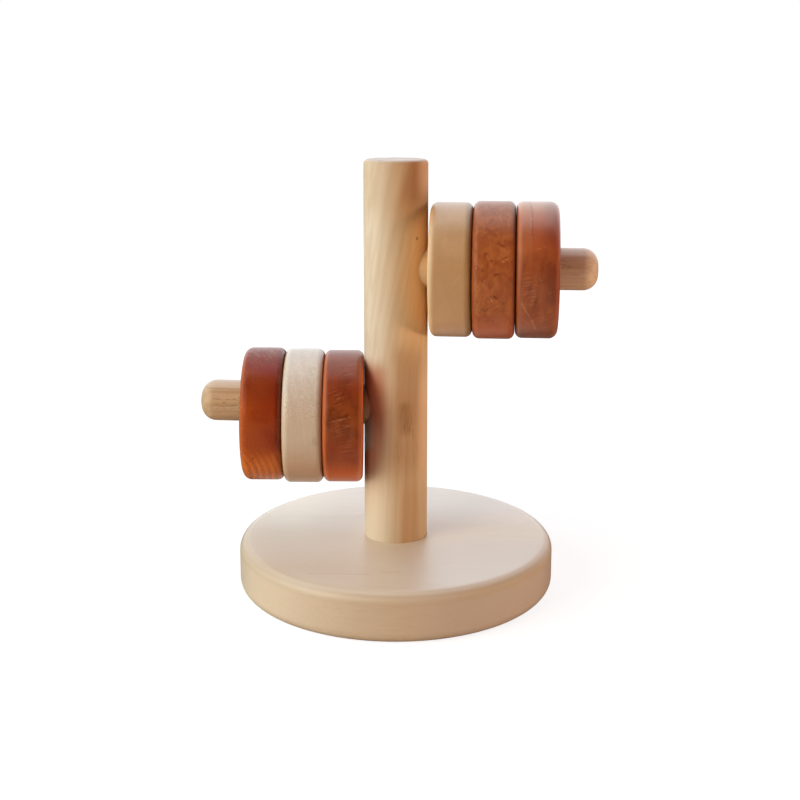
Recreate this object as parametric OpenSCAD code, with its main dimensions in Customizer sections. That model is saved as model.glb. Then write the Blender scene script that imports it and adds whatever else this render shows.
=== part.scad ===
// Wooden stacking toy: a round base, an upright post and two level pegs at different heights,
// one to each side, with three rings hung on each peg.
// Millimetres. The pegs lie along X, +Z is up, and the origin is the centre of the base's underside.

/* [Base] */
// Diameter of the round base
base_d = 150; // [120:1:220]
// Thickness of the base
base_t = 23; // [20:0.5:40]
// Radius of the rounding on the top and bottom edges of the base
base_edge_r = 5; // [1:0.5:8]
// Depth of the socket that takes the foot of the post
socket_depth = 10; // [6:0.5:12]

/* [Post] */
// Diameter of the post
post_d = 30; // [26:0.5:40]
// Height of the post above the top of the base
post_h = 180; // [155:1:260]
// Radius of the rounding at the top of the post
post_top_r = 2.1; // [0.5:0.1:6]

/* [Pegs] */
// Diameter of both pegs
peg_d = 19.6; // [16:0.1:20]
// Length of each peg outside the post
peg_reach = 78.4; // [70:0.1:110]
// Depth of the blind hole that holds each peg, from the side of the post
peg_seat = 20; // [12:0.5:22]
// Radius of the rounding at the tip of each peg
peg_tip_r = 7; // [1:0.5:7.5]
// Height of the left peg's axis above the top of the base
left_peg_z = 64; // [56:0.1:80]
// Height of the right peg's axis above the top of the base
right_peg_z = 129.9; // [100:0.1:140]

/* [Rings] */
// Diameter of the outer rings
ring_d = 63.2; // [50:0.1:80]
// How much wider the middle rings are than the outer ones, and how much narrower the inner ones are
ring_d_spread = 0.6; // [0:0.1:2]
// Thickness of the rings
ring_t = 19.4; // [12:0.1:22]
// How much thinner the left inner and middle rings are
left_thinning = 0.9; // [0:0.1:2]
// Play of the left inner ring on its peg, on the radius
left_play = 6.75; // [3:0.05:8]
// How much more play the left middle ring has, and how much less the outer one
left_play_spread = 0.2; // [0:0.05:1]
// Angle that the loose left rings have turned about the vertical
left_turn = 6; // [0:0.5:8]
// Angle that the left rings lean in at the top, towards the post
left_lean = 0.6; // [0:0.1:1.5]
// Play of the right inner and middle rings on their peg, on the radius
right_play = 1.2; // [0.9:0.05:4]
// How much less play the right outer ring has
right_play_spread = 0.3; // [0:0.05:0.5]
// Distance from the post to the right inner ring
right_post_gap = 1.5; // [0.3:0.1:4]

/* [Ring edges] */
// Radius of the rounding on the rings' outer edges
ring_edge_r = 3.2; // [0.5:0.1:5]
// Radius of the rounding on the outer edge that faces away from the post on the two outer rings
end_edge_r = 4; // [0.5:0.1:7]
// Radius of the rounding on the edges of the bores
bore_edge_r = 1.6; // [0.5:0.1:3]

/* [Screw] */
// Diameter of the wood screw under the base
screw_d = 5; // [3.5:0.5:6]
// Length of the wood screw, head included
screw_len = 50; // [30:1:60]
// Depth that the screw's head is sunk below the underside of the base
screw_sink = 2; // [0.5:0.5:4]

/* [Clearances] */
// Glue gap round the post's foot and the pegs, on the radius
glue_gap = 0.1; // [0.05:0.05:0.3]
// Gap between a ring's bore and the peg that it hangs on, where they come closest
seat_gap = 0.3; // [0.1:0.05:0.4]
// Gap between neighbouring rings, and between the left inner ring and the post
face_gap = 0.2; // [0.1:0.05:1]

/* [Hidden] */
$fn = 96;

LEFT = -1;
RIGHT = 1;

// How far a cut runs past the face that it opens
over = 1;

MAPLE = "#dcc19b";
BIRCH = "#c9a273";
BEECH = "#b98f64";
RUST = "#9c4a26";
CHERRY = "#8e4a2b";
ROSE = "#a4583a";
STEEL = "#b9bcc0";

post_r = post_d / 2;
peg_r = peg_d / 2;
foot_z = base_t - socket_depth;
peg_root = post_r - peg_seat;
peg_len = peg_seat + peg_reach;

// The countersunk head is as wide as on a standard wood screw, and its cone is 90 degrees.
screw_r = screw_d / 2;
screw_head_r = 0.95 * screw_d;
screw_head_h = screw_head_r - screw_r;
screw_point = screw_d;
screw_tip_r = 0.2;
recess_depth = 0.45 * screw_d;
recess_arm = 0.95 * screw_d;
recess_width = 0.2 * screw_d;

inner_d = ring_d - ring_d_spread;
middle_d = ring_d + ring_d_spread;
left_thin_t = ring_t - left_thinning;
left_bore = peg_d + 2 * left_play;
left_middle_bore = left_bore + 2 * left_play_spread;
left_outer_bore = left_bore - 2 * left_play_spread;
right_bore = peg_d + 2 * right_play;
right_outer_bore = right_bore - 2 * right_play_spread;

// Distance of a ring's centre below its peg's axis. A turned and leaning ring rests on one end of
// its bore, to the side of the peg, so it hangs a little less low than one that is square to the peg.
function left_hang(bore, t) =
    sqrt(pow((bore - peg_d) / 2 - seat_gap, 2) - pow(t / 2 * sin(left_turn), 2))
    - t / 2 * sin(left_lean);
function right_hang(bore) = (bore - peg_d) / 2 - seat_gap;

// Turned and leaning rings take this many times their thickness along the peg.
left_stretch = 1 / (cos(left_turn) * cos(left_lean));

// How far the leaning left inner ring reaches towards the post from its centre, at the rounding of its top
left_inner_reach = ring_edge_r + (left_thin_t / 2 - ring_edge_r) * cos(left_lean)
    + (inner_d / 2 - ring_edge_r) * sin(left_lean);

// Distances of the rings' centres from the post's axis, along their peg
left_inner_x = (post_r + face_gap + left_inner_reach) / cos(left_turn);
left_middle_x = left_inner_x + left_stretch * (left_thin_t + face_gap);
left_outer_x = left_middle_x + left_stretch * (left_thin_t / 2 + face_gap + ring_t / 2);
right_inner_x = post_r + right_post_gap + ring_t / 2;
right_middle_x = right_inner_x + ring_t + face_gap;
right_outer_x = right_middle_x + ring_t + face_gap;

// A box from x0 to x1 and y0 to y1 with true arcs at its corners.
// The radii go round from the corner at x0, y0 towards x1, y0, and 0 leaves a corner sharp.
module rounded_section(x0, x1, y0, y1, radii) {
    corner = [[x0, y0], [x1, y0], [x1, y1], [x0, y1]];
    inward = [[1, 1], [-1, 1], [-1, -1], [1, -1]];
    tangents = [for (i = [0 : 3]) for (k = [0 : 1])
        let (along_x = (i + k) % 2 == 1)
        corner[i] + radii[i] * [along_x ? inward[i].x : 0, along_x ? 0 : inward[i].y]];
    centre = [for (i = [0 : 3]) corner[i] + radii[i] * inward[i]];
    polygon(tangents);
    for (i = [0 : 3])
        if (radii[i] > 0)
            intersection() {
                translate(centre[i])
                    circle(radii[i]);
                translate([min(corner[i].x, centre[i].x), min(corner[i].y, centre[i].y)])
                    square(radii[i]);
            }
}

// Lays a part that was made along +Z along a peg: outwards from the post's axis, at the peg's height
module along_peg(side, distance, height) {
    translate([side * distance, 0, base_t + height])
        rotate([0, side * 90, 0])
            children();
}

module base() {
    color(MAPLE)
        difference() {
            rotate_extrude()
                rounded_section(0, base_d / 2, 0, base_t, [0, base_edge_r, base_edge_r, 0]);
            translate([0, 0, foot_z])
                cylinder(r = post_r + glue_gap, h = socket_depth + over);
            translate([0, 0, -over])
                cylinder(r = screw_r + glue_gap, h = foot_z + 2 * over);
            screw_sinking();
        }
}

// The counterbore and the cone that let the screw's head in
module screw_sinking() {
    translate([0, 0, -over])
        cylinder(r = screw_head_r + glue_gap, h = screw_sink + over);
    translate([0, 0, screw_sink])
        cylinder(r1 = screw_head_r + glue_gap, r2 = screw_r + glue_gap, h = screw_head_h);
}

module post() {
    color(BIRCH)
        difference() {
            translate([0, 0, foot_z])
                rotate_extrude()
                    rounded_section(0, post_r, 0, socket_depth + post_h, [0, 0, post_top_r, 0]);
            along_peg(LEFT, peg_root, left_peg_z)
                peg_hole();
            along_peg(RIGHT, peg_root, right_peg_z)
                peg_hole();
            translate([0, 0, foot_z - over])
                cylinder(r = screw_r + glue_gap, h = screw_sink + screw_len - foot_z + over);
        }
}

// The blind hole that a peg is glued into, from the peg's root outwards
module peg_hole() {
    cylinder(r = peg_r + glue_gap, h = peg_seat + over);
}

module peg() {
    rotate_extrude()
        rounded_section(0, peg_r, 0, peg_len, [0, 0, peg_tip_r, 0]);
}

module left_peg() {
    color(BEECH)
        along_peg(LEFT, peg_root, left_peg_z)
            peg();
}

module right_peg() {
    color(BEECH)
        along_peg(RIGHT, peg_root, right_peg_z)
            peg();
}

// A ring about +Z with its middle at the origin. far_r rounds the edge that faces away from the post.
module ring(d, bore, t, far_r) {
    rotate_extrude()
        rounded_section(bore / 2, d / 2, -t / 2, t / 2,
                        [bore_edge_r, ring_edge_r, far_r, bore_edge_r]);
}

module left_ring(x, d, bore, t, far_r = ring_edge_r) {
    translate([-x, 0, base_t + left_peg_z - left_hang(bore, t)])
        rotate([0, left_lean - 90, left_turn])
            ring(d, bore, t, far_r);
}

module right_ring(x, d, bore, far_r = ring_edge_r) {
    along_peg(RIGHT, x, right_peg_z - right_hang(bore))
        ring(d, bore, ring_t, far_r);
}

module left_inner_ring() {
    color(CHERRY)
        left_ring(left_inner_x, inner_d, left_bore, left_thin_t);
}

module left_middle_ring() {
    color(MAPLE)
        left_ring(left_middle_x, middle_d, left_middle_bore, left_thin_t);
}

module left_outer_ring() {
    color(RUST)
        left_ring(left_outer_x, ring_d, left_outer_bore, ring_t, end_edge_r);
}

module right_inner_ring() {
    color(BIRCH)
        right_ring(right_inner_x, inner_d, right_bore);
}

module right_middle_ring() {
    color(CHERRY)
        right_ring(right_middle_x, middle_d, right_bore);
}

module right_outer_ring() {
    color(ROSE)
        right_ring(right_outer_x, ring_d, right_outer_bore, end_edge_r);
}

module base_screw() {
    color(STEEL)
        translate([0, 0, screw_sink])
            difference() {
                union() {
                    cylinder(r1 = screw_head_r, r2 = screw_r, h = screw_head_h);
                    cylinder(r = screw_r, h = screw_len - screw_point);
                    translate([0, 0, screw_len - screw_point])
                        cylinder(r1 = screw_r, r2 = screw_tip_r, h = screw_point);
                }
                for (turn = [0, 90])
                    rotate([0, 0, turn])
                        translate([-recess_arm / 2, -recess_width / 2, -over])
                            cube([recess_arm, recess_width, recess_depth + over]);
            }
}

base();
post();
base_screw();
left_peg();
right_peg();
left_inner_ring();
left_middle_ring();
left_outer_ring();
right_inner_ring();
right_middle_ring();
right_outer_ring();
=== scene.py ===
"""A wooden stacking toy on a pale floor, in soft studio light. Metres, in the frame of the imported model."""
import math

import bpy
from mathutils import Matrix, Vector


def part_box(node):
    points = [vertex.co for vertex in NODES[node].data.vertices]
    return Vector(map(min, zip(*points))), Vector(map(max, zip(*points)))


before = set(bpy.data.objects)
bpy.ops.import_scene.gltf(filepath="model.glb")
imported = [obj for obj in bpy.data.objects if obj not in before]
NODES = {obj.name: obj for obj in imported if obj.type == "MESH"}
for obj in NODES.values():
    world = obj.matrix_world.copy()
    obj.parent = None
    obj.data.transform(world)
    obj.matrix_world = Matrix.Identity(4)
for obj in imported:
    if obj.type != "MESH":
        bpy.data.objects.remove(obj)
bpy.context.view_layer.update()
MM = 0.001

# The camera, fitted to the outlines in the photograph
CAMERA_DISTANCE = 0.5687
CAMERA_HEIGHT = 0.2352
CAMERA_AZIMUTH = math.radians(5.2)
CAMERA_PITCH = 0.1675
LENS_MM = 55.35
SENSOR_MM = 36
SHIFT_X = 0.0052
SHIFT_Y = -0.13

# Directions as the camera sees them
CAMERA_TURN = Matrix.Rotation(CAMERA_AZIMUTH, 4, "Z")
AWAY = CAMERA_TURN @ Vector((0, 1, 0))
RIGHT = CAMERA_TURN @ Vector((1, 0, 0))
UP = Vector((0, 0, 1))

# Sizes in mm by which marks are placed on the base, the post and the pegs. POST_CENTRE is over the floor
BASE_HALF = 11.5
POST_RADIUS = 15
POST_CENTRE = 108
PEG_RADIUS = 9.8

# Roughness, coat and index of refraction of two finishes
POLISHED = (0.34, 0.9, 1.62)
SATIN = (0.36, 0.9, 1.62)


def colour(red, green, blue):
    """An sRGB colour of 0 to 255 as the linear colour that a shader takes."""
    def linear(value):
        value /= 255
        return value / 12.92 if value <= 0.04045 else ((value + 0.055) / 1.055) ** 2.4
    return (linear(red), linear(green), linear(blue), 1)


class Graph:
    """Makes and joins the nodes of one material, or of the world."""

    def __init__(self, owner, output="OutputMaterial"):
        self.owner = owner
        self.owner.use_nodes = True
        self.tree = self.owner.node_tree
        self.tree.nodes.clear()
        self.surface = self.make(output).inputs["Surface"]

    def make(self, kind, inputs=(), **settings):
        """A node whose inputs are numbers, colours or other nodes' sockets."""
        made = self.tree.nodes.new("ShaderNode" + kind)
        for key, value in settings.items():
            setattr(made, key, value)
        for key, value in dict(inputs).items():
            self.join(value, made.inputs[key])
        return made

    def join(self, value, socket):
        """Sets a socket to a number or colour, or links another node's socket to it."""
        if isinstance(value, bpy.types.NodeSocket):
            self.tree.links.new(value, socket)
        else:
            socket.default_value = value

    def math(self, operation, *values):
        return self.make("Math", enumerate(values), operation=operation).outputs[0]

    def vector(self, operation, *values):
        return self.make("VectorMath", enumerate(values), operation=operation).outputs[0]

    def measure(self, operation, *values):
        """A vector sum that gives one number, such as LENGTH, DISTANCE or DOT_PRODUCT."""
        return self.make("VectorMath", enumerate(values), operation=operation).outputs["Value"]

    def step(self, value, start, end, low=0, high=1):
        """Goes smoothly from low to high while value goes from start to end, which may lie below start."""
        inputs = {0: value, 1: start, 2: end, 3: low, 4: high}
        return self.make("MapRange", inputs, interpolation_type="SMOOTHSTEP").outputs[0]

    def both(self, *shares):
        """One share of several that all have to hold."""
        share = shares[0]
        for other in shares[1:]:
            share = self.math("MULTIPLY", share, other)
        return share

    def band(self, value, start, full, fading, end):
        """1 while value lies between full and fading, and smoothly down to 0 at start and at end."""
        return self.both(self.step(value, start, full), self.step(value, end, fading))

    def blend(self, share, first, second):
        """first where share is 0, second where it is 1."""
        return self.make("Mix", {0: share, 6: first, 7: second}, data_type="RGBA").outputs[2]

    def seen(self, rays):
        """1 for what the camera sees, 0 for light and reflections."""
        return self.math("MAXIMUM", rays["Is Camera Ray"], rays["Is Transmission Ray"])

    def dress(self, node):
        """Gives a piece this material."""
        NODES[node].data.materials.clear()
        NODES[node].data.materials.append(self.owner)


class Wood(Graph):
    """A piece of wood, worked out in three dimensions as if it were cut from a plank.

    The wood's own frame has its origin at the centre of the piece and its Z along the fibres. Its X points
    across the plank, and the pith, where the growth rings have their centre, lies out along it.
    """

    def __init__(self, name, node, fibres, across):
        super().__init__(bpy.data.materials.new(name))
        low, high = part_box(node)
        self.node = node
        self.centre = (low + high) / 2
        along = Vector(fibres).normalized()
        across = Vector(across)
        across = (across - across.dot(along) * along).normalized()
        turn = Matrix((across, along.cross(across), along)).transposed()
        self.here = self.make("TexCoord").outputs["Object"]
        self.place = self.mapped(turn)
        self.block = self.mapped(Matrix.Identity(3))
        self.tone = None
        self.relief = None

    def mapped(self, turn):
        """The point in a frame at the centre of the piece that is turned by this matrix."""
        inputs = {"Vector": self.here, "Location": self.centre, "Rotation": turn.to_euler()}
        return self.make("Mapping", inputs, vector_type="TEXTURE").outputs[0]

    def parts(self, place):
        """The three parts of a place, in mm."""
        split = self.make("SeparateXYZ", {0: place})
        return [self.math("DIVIDE", part, MM) for part in split.outputs]

    def noise(self, size, detail=2, seed=0, distortion=0, place=None):
        """Smooth noise of 0 to 1, with lumps of this size in mm along the three axes. A seed moves it."""
        scale = [1 / (MM * s) for s in size]
        inputs = {0: place or self.place, 1: scale, 2: (7.3 * seed, 3.1 * seed, 5.7 * seed)}
        lumps = self.make("VectorMath", inputs, operation="MULTIPLY_ADD").outputs[0]
        inputs = {"Vector": lumps, "Scale": 1, "Detail": detail, "Distortion": distortion}
        return self.make("TexNoise", inputs).outputs[0]

    def paint(self, rgb):
        self.tone = self.make("RGB").outputs[0]
        self.tone.default_value = colour(*rgb)

    def tint(self, share, rgb, amount):
        """Mixes a colour in, where share is above 0."""
        self.tone = self.blend(self.math("MULTIPLY", share, amount), self.tone, colour(*rgb))

    def carve(self, height, amount):
        """Adds to the relief that the bump is made from."""
        height = self.math("MULTIPLY", height, amount)
        self.relief = height if self.relief is None else self.math("ADD", self.relief, height)

    def growth(self, pith, gap, wander, seed, start=0.35, end=0.93):
        """The late wood of the growth rings: 0 in the early wood, rising to up to 1 at each ring's end.

        pith is its place in mm across the fibres, gap the width of a ring, and wander how far the rings stray.
        """
        flat = self.vector("MULTIPLY", self.place, (1, 1, 0))
        away = self.measure("DISTANCE", flat, (pith[0] * MM, pith[1] * MM, 0))
        sway = self.noise((35, 35, 160), detail=1, seed=seed)
        ripple = self.noise((6, 6, 50), seed=seed + 1)
        moved = self.math("MULTIPLY_ADD", sway, 2 * wander * MM, away)
        moved = self.math("MULTIPLY_ADD", ripple, 0.4 * wander * MM, moved)
        count = self.math("DIVIDE", moved, gap * MM)
        part = self.math("FRACT", count)
        number = self.math("FLOOR", count)
        chance = self.make("TexWhiteNoise", {"W": number}, noise_dimensions="1D").outputs[0]
        depth = self.math("MULTIPLY_ADD", chance, 0.6, 0.4)
        return self.both(self.step(part, start, end), self.step(part, 1.0, end + 0.01), depth)

    def streaks(self, width, length, seed, low=0.35, high=0.65):
        """Streaks along the fibres, 0 to 1."""
        return self.step(self.noise((width, width, length), detail=3, seed=seed), low, high)

    def patches(self, size, seed, low=0.4, high=0.65, distortion=0):
        """Cloudy patches, 0 to 1."""
        return self.step(self.noise(size, seed=seed, distortion=distortion), low, high)

    def pores(self, width, length, seed, share, soft=0.05):
        """Short thin marks along the fibres: 1 in a mark."""
        return self.step(self.noise((width, width, length), detail=1, seed=seed), share, share + soft)

    def specks(self, size, seed, share):
        """Small specks, 1 in a speck."""
        return self.step(self.noise(size, detail=1, seed=seed), share, share + 0.04)

    def squiggles(self, size, seed, cover, width=0.03):
        """Thin curly lines, which come and go."""
        curl = self.noise(size, seed=seed, distortion=1.2)
        off = self.math("ABSOLUTE", self.math("SUBTRACT", curl, 0.5))
        line = self.step(off, width, 0)
        wide = [3 * s for s in size]
        shown = self.step(self.noise(wide, detail=1, seed=seed + 5), cover, cover + 0.08)
        return self.both(line, shown)

    def shaken(self, place, size, reach, seed=0):
        """The same place, moved a little this way and that, so that straight marks come out natural."""
        scale = [1 / (MM * size)] * 3
        lumps = self.make("VectorMath", {0: place, 1: scale, 2: (seed, seed, seed)}, operation="MULTIPLY_ADD")
        inputs = {"Vector": lumps.outputs[0], "Scale": 1, "Detail": 2}
        cloud = self.make("TexNoise", inputs).outputs["Color"]
        push = self.vector("SUBTRACT", cloud, (0.5, 0.5, 0.5))
        inputs = {0: push, 1: (2 * reach * MM,) * 3, 2: place}
        return self.make("VectorMath", inputs, operation="MULTIPLY_ADD").outputs[0]

    def strokes(self, place, lines, width, soft=0.4):
        """Thin marks on the surface, each between two points in mm: 1 in a mark."""
        nearest = None
        for start, end in lines:
            start = Vector(start) * MM
            run = Vector(end) * MM - start
            reach = self.vector("SUBTRACT", place, start)
            part = self.measure("DOT_PRODUCT", reach, run / run.length_squared)
            part = self.make("Clamp", {"Value": part}).outputs[0]
            near = self.make("VectorMath", {0: run, "Scale": part}, operation="SCALE").outputs[0]
            off = self.measure("DISTANCE", reach, near)
            nearest = off if nearest is None else self.math("MINIMUM", nearest, off)
        return self.step(nearest, width * (1 + soft) / 2 * MM, width * (1 - soft) / 2 * MM)

    def finish(self, roughness, coat=0.0, ior=1.47, bump=0.15, wear=0.12, polished=None):
        """Makes the shader and dresses the piece. wear is how much the gloss changes from place to place."""
        inputs = {"Base Color": self.tone, "IOR": ior, "Coat Weight": coat, "Coat Roughness": roughness,
                  "Coat IOR": ior}
        shader = self.make("BsdfPrincipled", inputs)
        fine = self.noise((0.5, 0.5, 9), seed=11)
        worn = self.noise((14, 14, 30), seed=12)
        rough = self.math("MULTIPLY_ADD", fine, wear, roughness - wear / 2)
        rough = self.math("MULTIPLY_ADD", self.math("SUBTRACT", worn, 0.5), wear, rough)
        if polished is not None:
            rough = self.math("MULTIPLY_ADD", polished, -0.4 * roughness, rough)
        self.join(rough, shader.inputs["Roughness"])
        self.carve(fine, 1.0)
        relief_height = 0.12 * MM
        inputs = {"Height": self.relief, "Strength": bump, "Distance": relief_height}
        self.join(self.make("Bump", inputs).outputs[0], shader.inputs["Normal"])
        self.join(shader.outputs["BSDF"], self.surface)
        self.dress(self.node)


def ring_axis(node):
    """The direction of a ring's bore, towards +X: the normal of its largest facet that faces that way."""
    facets = [f for f in NODES[node].data.polygons if f.normal.x > 0.9]
    return max(facets, key=lambda facet: facet.area).normal.copy()


def in_ring(angle, axis):
    """A direction across a ring's bore, this many degrees from straight up, turning towards the viewer."""
    front = axis.cross(UP).normalized()
    top = front.cross(axis)
    angle = math.radians(angle)
    return math.cos(angle) * top + math.sin(angle) * front


class Disc(Wood):
    """The wood of a ring. It is cut from the face of a board, so the growth rings cross its thickness."""

    def __init__(self, name, node, fibre_angle):
        self.axis = axis = ring_axis(node)
        super().__init__(name, node, in_ring(fibre_angle, axis), axis)
        corners = [v.co - self.centre for v in NODES[node].data.vertices]
        self.half = max(c.dot(axis) for c in corners) / MM
        self.radius = max((c - c.dot(axis) * axis).length for c in corners) / MM
        # A frame for marks: X along the bore, Y away from the viewer, Z up
        self.face = self.mapped(Matrix((axis, in_ring(-90, axis), in_ring(0, axis))).transposed())
        self.along, self.away, self.up = self.parts(self.face)

    def rim(self, along, angle):
        """A point on the rim, in the frame for marks: mm along the bore, degrees down from the top."""
        angle = math.radians(angle)
        return (along, -self.radius * math.sin(angle), self.radius * math.cos(angle))

    def rim_marks(self, lines, width, seed, shake=0.55):
        """Uneven marks on the rim. Each is a run of points, as rim() takes them."""
        pairs = [(self.rim(*a), self.rim(*b)) for line in lines for a, b in zip(line, line[1:])]
        marks = self.strokes(self.shaken(self.face, 1.7, shake, seed), pairs, width, soft=0.9)
        return self.both(marks, self.patches((1.3, 1.3, 1.3), seed=seed + 60, low=0.36, high=0.56))

    def scratch(self, lines, width, rgb, amount, seed, shake, depth):
        """Tints marks on the rim and sinks them in, or raises them where depth is below 0."""
        marks = self.rim_marks(lines, width, seed, shake)
        self.tint(marks, rgb, amount)
        self.carve(marks, -depth)

    def scuffs(self, along, start, end, wide, slant, rgb, amount, seed, low=0.54):
        """Tints fine scratches in one area of the rim: mm along the bore, two angles, and a width in mm.

        The scratches slant this many degrees off the bore, upwards to the right.
        """
        middle = (start + end) / 2
        out = in_ring(middle, self.axis)
        slant = math.radians(slant)
        run = math.cos(slant) * self.axis - math.sin(slant) * in_ring(middle + 90, self.axis)
        turned = self.mapped(Matrix((run.cross(out), run, out)).transposed())
        marks = self.step(self.noise((0.5, 8, 4), detail=1, seed=seed, place=turned), low, low + 0.16)
        area = self.strokes(self.face, [(self.rim(along, start), self.rim(along, end))], wide, 0.8)
        self.tint(self.both(marks, area), rgb, amount)

    def edge(self, side, wide=2.2, soft=1.2):
        """The rounded edge on one side: -1 is the left, 1 is the right."""
        out = self.math("MULTIPLY", self.along, side)
        return self.step(out, self.half - wide, self.half - wide + soft)


def base_maple():
    w = Wood("base_maple", "base", (1, 0.02, 0.004), (0, 0.25, -1))
    w.paint((226, 213, 195))
    across, away, height = w.parts(w.block)
    w.tint(w.growth((75, 20), 5.5, wander=4, seed=1, start=0.4), (206, 181, 150), 0.12)
    w.tint(w.streaks(1.1, 60, seed=2), (210, 190, 166), 0.1)
    w.tint(w.streaks(8, 120, seed=3, low=0.4, high=0.7), (232, 224, 211), 0.15)
    # Painted light on the top: the back is paler, a painted reflection of the backdrop, and the left front is
    # browner, a painted shadow of the left rings; the right front is tinted greyer
    w.tint(w.both(w.step(away, 5, 45), w.step(across, -50, 30, 0.4, 1)), (252, 249, 242), 0.9)
    w.tint(w.both(w.band(away, -66, -44, -10, 18), w.step(across, 0, -25)), (210, 186, 160), 0.7)
    w.tint(w.both(w.step(away, 4, -20), w.step(across, 2, 25)), (210, 202, 203), 0.5)
    w.tint(w.pores(0.4, 10, seed=4, share=0.66), (184, 153, 121), 0.22)
    # Two thin lines on the top, and two on the side
    lines = [((-34.5, -54.9, BASE_HALF), (-6.6, -53.5, BASE_HALF)),
             ((-2.4, -50.9, BASE_HALF), (6.4, -49.5, BASE_HALF)),
             ((-40.9, -62.8, 1.3), (-26.5, -70.1, 4.6)), ((0.1, -75, 6.4), (6.4, -74.7, 6.5))]
    w.tint(w.strokes(w.shaken(w.block, 6, 0.3), lines, 0.5, 0.8), (171, 138, 103), 0.5)
    # Cut across its fibres, the side is a little darker
    side = w.step(height, 10, 6.5)
    w.tint(side, (203, 183, 161), 0.9)
    w.tint(w.both(side, w.streaks(0.9, 40, seed=14, low=0.45, high=0.7)), (180, 151, 121), 0.16)
    # Painted light: the side's left end is paler where the left lamps fall on it, and its right end is tinted
    # greyer
    w.tint(w.both(side, w.step(across, -30, -66)), (216, 197, 174), 0.6)
    w.tint(w.both(side, w.step(across, 5, 40)), (190, 178, 180), 0.4)
    # The rounded edge is a little darker: painted shade that tones down the lamps' highlight on it
    outward = w.step(w.math("ABSOLUTE", across), 15, 62, 0.45, 0.85)
    rounded = w.band(height, 5, 8, 9.5, BASE_HALF - 0.05)
    w.tint(w.both(rounded, outward), (193, 173, 148), 1.0)
    # Painted shade over the band where that highlight is brightest
    w.tint(w.band(height, 8.6, 10, 11.2, BASE_HALF - 0.02), (166, 140, 112), 0.3)
    w.finish(0.42, 1.0, 1.62, bump=0.06, wear=0.05, polished=w.step(away, -20, 30))


def on_post(angle, height):
    """A point on the post: degrees round it, 0 at the front and 90 at the right, and mm over the floor."""
    angle = math.radians(angle)
    return (POST_RADIUS * math.sin(angle), -POST_RADIUS * math.cos(angle), height - POST_CENTRE)


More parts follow.
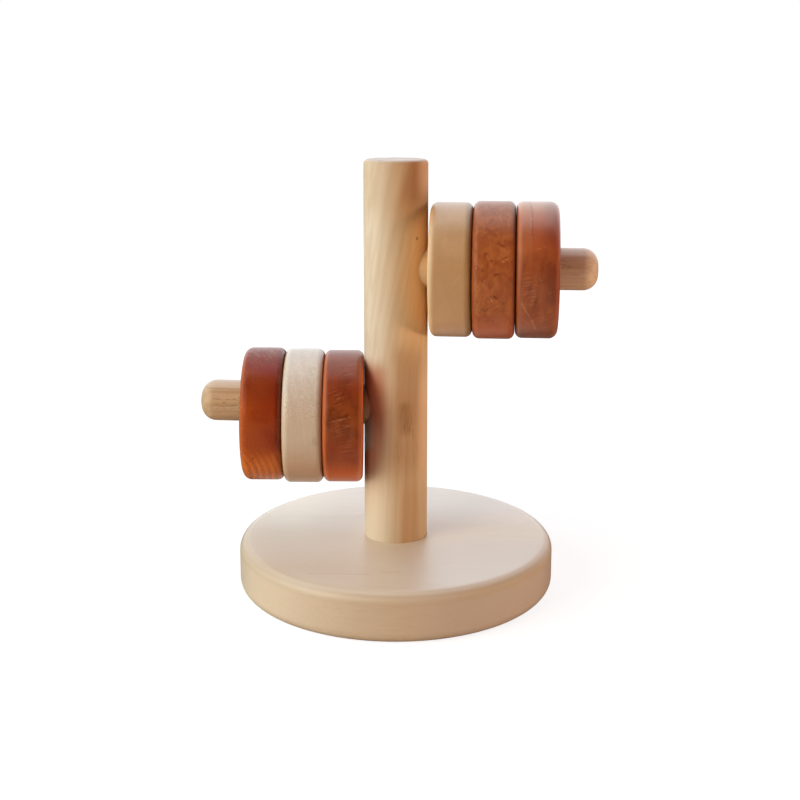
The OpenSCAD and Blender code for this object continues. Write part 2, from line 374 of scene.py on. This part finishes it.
def post_birch():
    w = Wood("post_birch", "post", (0.04, 0, 1), (0.6, -1, 0))
    across, _, height = w.parts(w.block)
    # The grain runs up straight from the base, and leans over to the right in the upper half
    slope = 0.17
    right_in_wood = (0.514, 0.857, 0)
    lean = w.math("MULTIPLY", w.math("MAXIMUM", height, 0), -slope * MM)
    shift = w.make("VectorMath", {0: right_in_wood, "Scale": lean}, operation="SCALE").outputs[0]
    w.place = w.vector("ADD", w.place, shift)
    w.paint((202, 177, 144))
    w.tint(w.growth((34, 14), 5.2, wander=3, seed=5, start=0.2), (176, 135, 94), 0.16)
    w.tint(w.streaks(1.6, 70, seed=6), (178, 139, 99), 0.15)
    w.tint(w.streaks(4, 120, seed=7, low=0.4, high=0.68), (211, 190, 165), 0.3)
    w.tint(w.pores(0.3, 5, seed=8, share=0.68), (134, 88, 50), 0.22)
    # Painted light: the left half is paler and less yellow where the cool left lamps fall on it
    w.tint(w.step(across, 6, -9), (205, 191, 173), 0.85)
    w.tint(w.both(w.step(height, 62, 78), w.step(across, 10, -2)), (184, 160, 132), 0.4)
    # Darker heartwood at the right of the top, with a slanting edge
    slanted = w.math("MULTIPLY_ADD", w.noise((8, 8, 30), seed=9), 6, across)
    slanted = w.math("MULTIPLY_ADD", height, -0.12, slanted)
    w.tint(w.both(w.step(slanted, -9, 2), w.step(height, 60, 80)), (152, 94, 54), 0.8)
    # Browner low in the middle: partly painted shade of the left rings, partly the flecked wood there
    w.tint(w.both(w.step(across, -4, 5), w.band(height, -62, -42, -25, -8)), (163, 114, 76), 0.45)
    w.tint(w.both(w.band(across, -3, 3, 10, 14), w.band(height, -34, -12, 4, 16)), (150, 98, 60), 0.4)
    # Painted shade and a painted red reflection, where the left rings shade the post and throw their colour on
    # it
    w.tint(w.both(w.step(across, 0, -7), w.band(height, -40, -22, -4, 6)), (160, 76, 20), 0.6)
    w.tint(w.streaks(2.4, 200, seed=15, low=0.36, high=0.68), (170, 128, 90), 0.24)
    # Painted light: an amber glow on the right side, painted bounce light from the right rings that also
    # softens their shadow
    painted_bounce_light = w.both(w.step(across, 0, 10), w.band(height, -6, 20, 64, 84))
    w.tint(painted_bounce_light, (232, 188, 132), 0.4)
    # Painted rim light: the wood is tinted pale and rosy along its right side
    painted_rim_light = w.math("MAXIMUM", w.step(height, 66, 86), w.band(height, -66, -44, -20, 8))
    w.tint(w.both(w.step(across, 9, 14.5), painted_rim_light), (238, 204, 170), 0.55)
    # The foot is paler on the left and browner on the right
    w.tint(w.both(w.step(height, -48, -66), w.step(across, 4, -8)), (226, 209, 184), 0.7)
    w.tint(w.both(w.step(height, -50, -64), w.band(across, 1, 6, 10, 13)), (176, 112, 50), 0.3)
    # Short flecks along the grain, close together in one patch and loose in another
    w.tint(w.strokes(w.block, [(on_post(23, 88), on_post(24, 79))], 5, 1), (146, 106, 72), 0.6)
    close = w.strokes(w.block, [(on_post(22.5, 89), on_post(24.5, 78))], 5.5, 0.7)
    w.tint(w.both(close, w.pores(0.45, 6, seed=60, share=0.5, soft=0.16)), (112, 76, 48), 0.5)
    fleck = [(on_post(37.5, 78), on_post(37.7, 73.5))]
    w.tint(w.strokes(w.shaken(w.block, 1.5, 0.3), fleck, 0.4, 0.9), (114, 77, 52), 0.5)
    loose = w.strokes(w.block, [(on_post(14, 68), on_post(38, 65))], 9, 0.8)
    w.tint(w.both(loose, w.pores(0.42, 7, seed=61, share=0.53, soft=0.16)), (128, 88, 58), 0.3)
    speck = [(on_post(45.3, 167.8), on_post(45.3, 167.3))]
    w.tint(w.strokes(w.block, speck, 0.9), (116, 77, 48), 0.8)
    # The end grain on the top is greyer and smoother
    end = w.step(height, 94, 94.8)
    w.tint(end, (212, 204, 196), 0.7)
    w.finish(0.55, 0.0, 1.4, polished=end)


def peg_wood(name, node, rgb, late_rgb, fleck_rgb, seed, marks):
    """A peg, with marks given as places along X in mm and degrees down from the top, towards the viewer."""
    w = Wood(name, node, (1, 0.01, 0.02), (0, 1, 0.5))
    middle = w.centre.x / MM
    w.paint(rgb)
    w.tint(w.growth((14, 4), 3.4, wander=1, seed=seed), late_rgb, 0.35)
    w.tint(w.streaks(1.2, 30, seed=seed + 1), late_rgb, 0.35)
    w.tint(w.pores(0.3, 2.0, seed=seed + 2, share=0.68), fleck_rgb, 0.4)

    def spot(x, angle):
        angle = math.radians(angle)
        return (x - middle, -PEG_RADIUS * math.sin(angle), PEG_RADIUS * math.cos(angle))
    lines = [(spot(*a), spot(*b)) for a, b in marks]
    flecks = w.strokes(w.shaken(w.block, 1.5, 0.4), lines, 0.45, 0.9)
    w.tint(w.both(flecks, w.patches((1.2, 1.2, 1.2), seed=seed + 3, low=0.38, high=0.55)), fleck_rgb, 0.6)
    return w


def left_peg_wood():
    marks = [((-86.4, 72), (-82.8, 74.5)), ((-80.2, 75), (-75.4, 72.6)), ((-85.3, 87), (-83.9, 88.5)),
             ((-81.4, 84), (-80.1, 82.7)), ((-87.2, 96.4), (-87.5, 103)), ((-84.5, 101), (-83.3, 107)),
             ((-83.7, 95.1), (-74.5, 90.3)), ((-83.8, 113), (-82, 109)), ((-80.9, 99), (-80, 105)),
             ((-79.4, 111), (-78.3, 114)), ((-77.6, 101), (-76.1, 97.4)), ((-86, 109), (-85.6, 111))]
    w = peg_wood("left_peg_wood", "left_peg", (191, 161, 127), (163, 125, 88), (113, 79, 53), 20, marks)
    # Paler along its top, a painted highlight, over a thin brown line
    up = w.parts(w.shaken(w.block, 20, 0.4))[2]
    w.tint(w.step(up, 7.3, 7.9), (198, 174, 152), 0.5)
    off = w.math("ABSOLUTE", w.math("SUBTRACT", up, 7.2))
    w.tint(w.step(off, 0.45, 0), (150, 112, 80), 0.45)
    w.finish(*POLISHED)


def right_peg_wood():
    marks = [((76, 57.6), (78.8, 60.6)), ((76.5, 68.8), (81.6, 79.4)), ((79.6, 96.2), (84.7, 98))]
    w = peg_wood("right_peg_wood", "right_peg", (226, 196, 170), (187, 147, 118), (135, 100, 80), 24, marks)
    # Its wood is yellower near the post
    w.tint(w.step(w.parts(w.block)[0], -16, -26), (206, 176, 128), 0.8)
    w.finish(*POLISHED)


def left_outer_wood():
    # Its rim shows end grain to the viewer, with arcs round a pith that lies low on the left
    w = Disc("left_outer_wood", "left_outer_ring", 90)
    w.paint((146, 60, 22))
    w.tint(w.step(w.along, 6, -8), (160, 76, 28), 0.5)
    w.tint(w.both(w.step(w.along, 0, 9), w.step(w.up, -17, -4, 0.15, 1)), (118, 29, 12), 0.6)
    w.tint(w.patches((12, 12, 26), seed=40), (118, 35, 14), 0.4)
    w.tint(w.patches((9, 9, 20), seed=41), (158, 70, 28), 0.3)
    w.tint(w.band(w.up, 10, 17, 23, 27), (104, 36, 18), 0.45)
    w.tint(w.step(w.math("MULTIPLY_ADD", w.along, 0.12, w.up), 23, 26), (120, 20, 8), 0.78)
    # Painted light: the lower part is brighter orange, painted warm light thrown up from below
    low = w.step(w.up, -6, -21)
    w.tint(low, (208, 112, 34), 0.8)
    late = w.growth((-21, -23.5), 2.9, wander=0.4, seed=38, start=0.15, end=0.8)
    w.tint(w.both(late, w.math("MULTIPLY_ADD", low, 0.38, 0.05)), (112, 40, 10), 1.0)
    early = w.step(late, 0.3, 0)
    w.tint(w.both(early, low), (228, 134, 60), 0.22)
    w.tint(w.edge(-1), (182, 95, 46), 0.5)
    w.tint(w.pores(0.3, 3, seed=42, share=0.68), (96, 25, 10), 0.4)
    # Scuffs across its top, in two slanting directions
    w.scuffs(0, -30, 12, 16, 52, (74, 62, 56), 0.75, seed=1)
    w.scuffs(0, -30, 12, 16, -44, (206, 172, 158), 0.4, seed=2)
    w.tint(w.rim_marks([[(-3.4, 115.2), (-3.1, 117.8)]], 0.6, seed=2), (65, 23, 10), 0.9)
    pale_lines = [[(-6.4, 9.5), (-2.4, 24.1)], [(-1, 78), (0.4, 75.7)]]
    w.tint(w.rim_marks(pale_lines, 0.5, seed=3), (177, 110, 81), 0.3)
    w.finish(0.28)


def left_middle_wood():
    w = Disc("left_middle_wood", "left_middle_ring", 8)
    w.paint((199, 182, 168))
    # Painted sheen: the top is tinted whiter, a painted reflection of the light above
    w.tint(w.step(w.up, 6, 26), (220, 220, 220), 0.55)
    w.tint(w.growth((60, 0), 4.6, wander=2, seed=34, start=0.2), (180, 161, 139), 0.2)
    w.tint(w.streaks(1.2, 30, seed=35), (182, 163, 144), 0.3)
    w.tint(w.step(w.up, -2, -26), (176, 132, 97), 0.8)
    w.tint(w.rim_marks([[(4.4, 34), (5.8, 98)]], 2.8, seed=4), (164, 150, 98), 0.6)
    w.tint(w.edge(-1), (206, 184, 150), 0.6)
    # Fine pale and dark grains, most of them in a band above the middle
    inside = w.band(w.up, 4, 8, 15, 19)
    grain = w.specks((0.5, 0.5, 0.8), seed=36, share=0.61)
    w.tint(w.both(grain, w.math("MULTIPLY_ADD", inside, 0.8, 0.1)), (228, 221, 209), 0.75)
    dark_grain = w.specks((0.5, 0.5, 0.7), seed=39, share=0.62)
    w.tint(w.both(dark_grain, inside), (150, 124, 102), 0.5)
    w.tint(w.pores(0.35, 2.5, seed=37, share=0.67), (158, 132, 108), 0.3)
    w.finish(*SATIN)


def left_inner_wood():
    w = Disc("left_inner_wood", "left_inner_ring", 20)
    w.paint((128, 61, 26))
    w.tint(w.growth((60, 0), 3.2, wander=2.5, seed=30, start=0.2), (104, 42, 16), 0.35)
    w.tint(w.patches((7, 7, 14), seed=31, distortion=1.0), (97, 38, 16), 0.5)
    w.tint(w.patches((5, 5, 9), seed=32), (155, 78, 33), 0.35)
    w.tint(w.step(w.up, 8, 22), (132, 46, 24), 0.45)
    # Painted light: lower down it turns brighter orange, painted warm light thrown up from below
    w.tint(w.step(w.up, 1, -9), (142, 48, 4), 0.5)
    w.tint(w.step(w.up, -12, -26), (212, 96, 8), 0.85)
    w.tint(w.edge(-1), (190, 100, 48), 0.75)
    w.tint(w.edge(1, 2.6), (174, 91, 40), 0.6)
    w.tint(w.step(w.along, w.half - 0.8, w.half - 0.3), (206, 88, 34), 0.8)
    # Scuffs in several directions, and two long scratches
    pale, dark = (184, 128, 94), (72, 28, 14)
    w.scuffs(1.6, 27, 43, 6, 10, dark, 0.45, seed=70)
    w.scuffs(1.6, 27, 43, 6, 8, pale, 0.4, seed=71)
    w.scuffs(-2.6, 58, 72, 7, 20, dark, 0.5, seed=72)
    w.scuffs(-2.8, 58, 88, 7, 17, pale, 0.32, seed=73)
    w.scuffs(2, 84, 110, 7, 9, pale, 0.28, seed=74)
    w.scuffs(0, 46, 62, 5, 72, dark, 0.55, seed=75, low=0.5)
    w.scuffs(-2, 115, 145, 6, 80, (186, 104, 50), 0.3, seed=76)
    w.scratch([[(-6, 78.8), (-1.5, 76.8), (2.4, 74.8)]], 0.8, dark, 0.6, seed=5, shake=0.3, depth=1.2)
    w.scratch([[(-6, 80.9), (-1.4, 78.8), (3.4, 76.6)]], 0.55, pale, 0.6, seed=6, shake=0.3, depth=-1)
    w.tint(w.squiggles((1.3, 1.3, 2.2), seed=33, cover=0.54), (168, 106, 64), 0.3)
    w.tint(w.squiggles((1.5, 1.5, 2.2), seed=37, cover=0.56), (80, 30, 14), 0.35)
    w.tint(w.pores(0.35, 2, seed=36, share=0.66), (86, 34, 14), 0.45)
    w.finish(0.32, 0.3, 1.5)


def right_inner_wood():
    w = Disc("right_inner_wood", "right_inner_ring", 60)
    w.paint((195, 159, 121))
    w.tint(w.growth((60, 0), 4.2, wander=2, seed=42, start=0.2), (175, 137, 99), 0.15)
    w.tint(w.patches((10, 10, 20), seed=43), (179, 141, 99), 0.35)
    w.tint(w.streaks(1.2, 18, seed=44), (177, 139, 103), 0.2)
    w.tint(w.band(w.up, -20, -6, 2, 16), (176, 132, 88), 0.35)
    w.tint(w.edge(-1), (213, 184, 149), 0.6)
    w.tint(w.edge(1, 3.8), (166, 135, 83), 0.5)
    w.tint(w.rim_marks([[(2, 93.9), (3.5, 89.5), (5.5, 85.4)]], 0.5, seed=7), (204, 170, 142), 0.5)
    w.tint(w.step(w.along, 0.8 - w.half, 0.3 - w.half), (246, 196, 140), 0.8)
    w.finish(*SATIN)


def right_middle_wood():
    w = Disc("right_middle_wood", "right_middle_ring", 15)
    w.paint((156, 86, 45))
    w.tint(w.patches((6, 6, 9), seed=46, distortion=1.2, low=0.42, high=0.62), (182, 106, 56), 0.45)
    w.tint(w.patches((5, 5, 8), seed=47, distortion=1.5, low=0.48, high=0.62), (124, 54, 26), 0.4)
    w.tint(w.squiggles((3.4, 3.4, 4.6), seed=48, cover=0.53), (104, 42, 20), 0.45)
    w.tint(w.squiggles((3, 3, 4.2), seed=49, cover=0.55), (202, 136, 90), 0.35)
    w.tint(w.edge(-1), (138, 66, 30), 0.5)
    # Painted shade: darker at the right face, a painted contact shadow where it meets the outer ring
    w.tint(w.step(w.along, w.half - 1.8, w.half - 0.6), (104, 44, 24), 0.6)
    w.tint(w.rim_marks([[(-6.4, 93), (-6.8, 120)]], 2.6, seed=8), (180, 115, 64), 0.6)
    # Painted light: the lower part is brighter orange, painted warm light thrown up from below
    w.tint(w.step(w.up, -14, -27), (184, 84, 36), 0.55)
    # Short nicks, dark where they are sunk in and pale where fibres stand up
    dark = [[(-4.3, 72.1), (-3.2, 68.6)], [(-2.8, 78.8), (-1.7, 75.8), (-0.5, 74.6)],
            [(2.1, 60.9), (4.8, 62.5)], [(1.2, 76.5), (3.5, 73.2), (5.6, 71.3)], [(-4.8, 83.1), (-3.8, 79.6)],
            [(-0.4, 86.6), (2.9, 84.4)], [(0.4, 103), (4.4, 109.9)], [(-3.8, 117.4), (-2.1, 114.4)]]
    light = [[(1.4, 28.8), (2.8, 35), (3.4, 40)], [(4.1, 75.3), (6.6, 72.2)], [(-1.9, 102.3), (-0.4, 107.4)],
             [(-4.8, 94.9), (-3.9, 90.6)], [(-3.2, 69.8), (-2.2, 73)]]
    w.scratch(dark, 0.8, (92, 34, 18), 0.75, seed=9, shake=0.9, depth=1.2)
    w.scratch(light, 0.5, (205, 143, 109), 0.6, seed=10, shake=0.8, depth=-1)
    w.finish(0.32, 0.4, 1.54)


def right_outer_wood():
    w = Disc("right_outer_wood", "right_outer_ring", 20)
    w.paint((154, 80, 42))
    w.tint(w.growth((-60, 0), 3.6, wander=3, seed=50, start=0.2), (123, 49, 23), 0.3)
    w.tint(w.patches((8, 8, 16), seed=51, distortion=0.8), (123, 53, 23), 0.45)
    # Painted sheen: its top is paler, a painted reflection of the light above
    w.tint(w.step(w.up, 24, 31.5), (230, 182, 146), 0.5)
    w.tint(w.band(w.up, 8, 18, 26, 31), (196, 98, 52), 0.6)
    w.tint(w.both(w.step(w.along, -2.4, -3), w.step(w.up, 4, 18)), (186, 116, 74), 0.5)
    w.tint(w.band(w.up, 12, 18, 24, 30), (150, 76, 44), 0.35)
    w.tint(w.both(w.step(w.along, -1, 6), w.step(w.up, 8, 20)), (116, 42, 20), 0.6)
    w.tint(w.both(w.step(w.along, 0, 6), w.band(w.up, -15, -8, 4, 10)), (92, 26, 10), 0.5)
    w.tint(w.edge(1), (171, 78, 39), 0.6)
    w.tint(w.edge(-1), (175, 104, 59), 0.5)
    pale, dark = (198, 137, 101), (86, 34, 18)
    # A dark line down from the top, and scuffs in several directions
    crack = [[(-3.5, 8), (-3.1, 20), (-2.7, 30), (-2.9, 40), (-2.7, 52.9)]]
    w.scratch(crack, 0.55, dark, 0.65, seed=11, shake=0.3, depth=1.2)
    scored = [[(-3.3, 34.9), (-3.5, 44.5)], [(-1.2, 65.7), (1.7, 63.6), (5.3, 61.8)]]
    w.scratch(scored, 0.5, pale, 0.5, seed=12, shake=0.3, depth=-1)
    w.scuffs(-3.2, 90, 106, 8, 14, pale, 0.38, seed=80)
    w.scuffs(-3.2, 92, 108, 8, 78, dark, 0.45, seed=81)
    w.scuffs(3.5, 70, 76, 5, 30, dark, 0.5, seed=82)
    w.scuffs(4, 122, 136, 8, 28, pale, 0.38, seed=83)
    w.scuffs(-5, 112, 138, 5, -62, pale, 0.3, seed=84)
    arc = [[(-6.8, 110), (-5.6, 115.4), (-4, 121.4), (-2, 128.6), (-0.6, 138.8)]]
    w.scratch(arc, 0.7, pale, 0.55, seed=13, shake=0.4, depth=-1)
    w.tint(w.squiggles((1.8, 1.8, 3), seed=53, cover=0.53), (186, 120, 80), 0.4)
    w.tint(w.pores(0.35, 2.4, seed=54, share=0.67), (90, 34, 16), 0.4)
    w.finish(0.34, 0.9, 1.6)


def screw_steel():
    g = Graph(bpy.data.materials.new("screw_steel"))
    shader = g.make("BsdfPrincipled", {"Base Color": colour(196, 198, 200), "Metallic": 1, "Roughness": 0.32})
    g.join(shader.outputs["BSDF"], g.surface)
    g.dress("base_screw")


base_maple()
post_birch()
left_peg_wood()
right_peg_wood()
left_inner_wood()
left_middle_wood()
left_outer_wood()
right_inner_wood()
right_middle_wood()
right_outer_wood()
screw_steel()

LAMPS_POINT_AT = 0.1 * UP


def lamp(name, place, width, height, watts, rgb=(255, 255, 255)):
    """A soft rectangular lamp. place is as the camera sees it: right, away, up, in metres from the base."""
    data = bpy.data.lights.new(name, "AREA")
    data.shape = "RECTANGLE"
    data.size = width
    data.size_y = height
    data.energy = watts
    data.color = colour(*rgb)[:3]
    made = bpy.data.objects.new(name, data)
    bpy.context.scene.collection.objects.link(made)
    made.location = CAMERA_TURN @ Vector(place)
    made.rotation_euler = (LAMPS_POINT_AT - made.location).to_track_quat("-Z", "Y").to_euler()
    made.visible_camera = False
    made.visible_glossy = False


lamp("left_window", (-0.9, -0.15, 0.45), 0.9, 0.9, 8.1, (196, 244, 255))
lamp("left_fill", (-0.75, -0.6, 0.45), 0.7, 0.7, 8.2, (255, 225, 195))
lamp("top_panel", (0, 0.1, 0.95), 0.9, 0.9, 3, (255, 214, 208))
lamp("back_panel", (0, 0.9, 0.7), 1.2, 0.6, 1.2)
lamp("right_bounce", (0.9, -0.25, 0.12), 0.5, 0.2, 5.6, (255, 221, 188))

# The studio's own light from three sides
LIGHT = {"right": (0.03, 0.03, 0.03), "front": (0.02, 0.02, 0.02), "back": (0.25, 0.25, 0.25)}
# What shows in reflections: a pale backdrop behind the toy and over it, and darkness everywhere else
SHINE = {"room": (0.02, 0.02, 0.02), "sides": (0.02, 0.02, 0.02), "back": (1.35, 1.35, 1.37),
         "top": (1.25, 1.4, 1.4)}
# How brightly the floor's glow shows in reflections
FLOOR_SHINE = 0.02


def studio():
    """A world that is white to the camera, and has its own light and its own reflections from each side."""
    g = Graph(bpy.data.worlds.new("studio"), "OutputWorld")
    way = g.make("TexCoord").outputs["Generated"]

    def along(axis):
        return g.measure("DOT_PRODUCT", way, axis)

    def facing(axis):
        """1 straight towards a side, down to 0 at right angles to it."""
        return g.math("POWER", g.math("MAXIMUM", along(axis), 0), 2)

    def total(colours, shares):
        """The sum of the colours, each times its share."""
        summed = (0, 0, 0)
        for side, rgb in colours.items():
            part = g.make("VectorMath", {0: rgb, "Scale": shares[side]}, operation="SCALE").outputs[0]
            summed = g.vector("ADD", summed, part)
        return summed

    back = facing(AWAY)
    light = total(LIGHT, {"right": facing(RIGHT), "front": facing(-AWAY), "back": back})
    # The backdrop arches over the toy as far as the zenith
    backdrop = g.step(along(AWAY), -0.25, 0.1)
    sides = g.math("ADD", facing(-RIGHT), facing(RIGHT))
    shares = {"room": g.math("SUBTRACT", 1, backdrop)}
    for name, share in (("sides", sides), ("back", back), ("top", facing(UP))):
        shares[name] = g.math("MULTIPLY", backdrop, share)
    rays = g.make("LightPath").outputs
    tone = g.blend(rays["Is Glossy Ray"], light, total(SHINE, shares))
    tone = g.blend(g.seen(rays), tone, (1, 1, 1, 1))
    g.join(g.make("Background", {"Color": tone, "Strength": 1}).outputs[0], g.surface)
    return g.owner


bpy.context.scene.world = studio()

FLOOR_HALF = 4
floor_mesh = bpy.data.meshes.new("floor")
corners = [(x * FLOOR_HALF, y * FLOOR_HALF, 0) for x, y in ((-1, -1), (1, -1), (1, 1), (-1, 1))]
floor_mesh.from_pydata(corners, [], [(0, 1, 2, 3)])
floor = bpy.data.objects.new("floor", floor_mesh)
bpy.context.scene.collection.objects.link(floor)


def pale_floor():
    """White to the camera, dark in reflections, and grey in the light, so that the shadow still shows."""
    g = Graph(bpy.data.materials.new("floor_white"))
    rays = g.make("LightPath").outputs
    shown = g.math("MULTIPLY_ADD", rays["Is Glossy Ray"], FLOOR_SHINE, g.seen(rays))
    # Its own glow makes up for the light that the floor loses away from the toy
    away = g.measure("LENGTH", g.make("TexCoord").outputs["Object"])
    spread = g.step(away, 0.15, 0.8, 0.84, 1.0)
    glow = g.make("Emission", {"Color": (1, 1, 1, 1), "Strength": g.math("MULTIPLY", spread, shown)})
    # What the floor throws back on the toy is a little warm, and little of it shows in the toy's gloss
    plain = g.blend(rays["Is Diffuse Ray"], (0.3, 0.31, 0.34, 1), (0.82, 0.7, 0.56, 1))
    matt = g.make("BsdfDiffuse", {"Color": g.blend(rays["Is Glossy Ray"], plain, (0.2, 0.17, 0.14, 1))})
    g.join(g.make("AddShader", {0: glow.outputs[0], 1: matt.outputs[0]}).outputs[0], g.surface)
    return g.owner


floor_mesh.materials.append(pale_floor())

camera_data = bpy.data.cameras.new("camera")
camera_data.lens = LENS_MM
camera_data.sensor_width = SENSOR_MM
camera_data.shift_x = SHIFT_X
camera_data.shift_y = SHIFT_Y
camera = bpy.data.objects.new("camera", camera_data)
bpy.context.scene.collection.objects.link(camera)
camera.matrix_world = (
    CAMERA_TURN
    @ Matrix.Translation((0, -CAMERA_DISTANCE, CAMERA_HEIGHT))
    @ Matrix.Rotation(math.pi / 2 - CAMERA_PITCH, 4, "X")
)
bpy.context.scene.camera = camera
bpy.context.scene.view_settings.view_transform = "Standard"
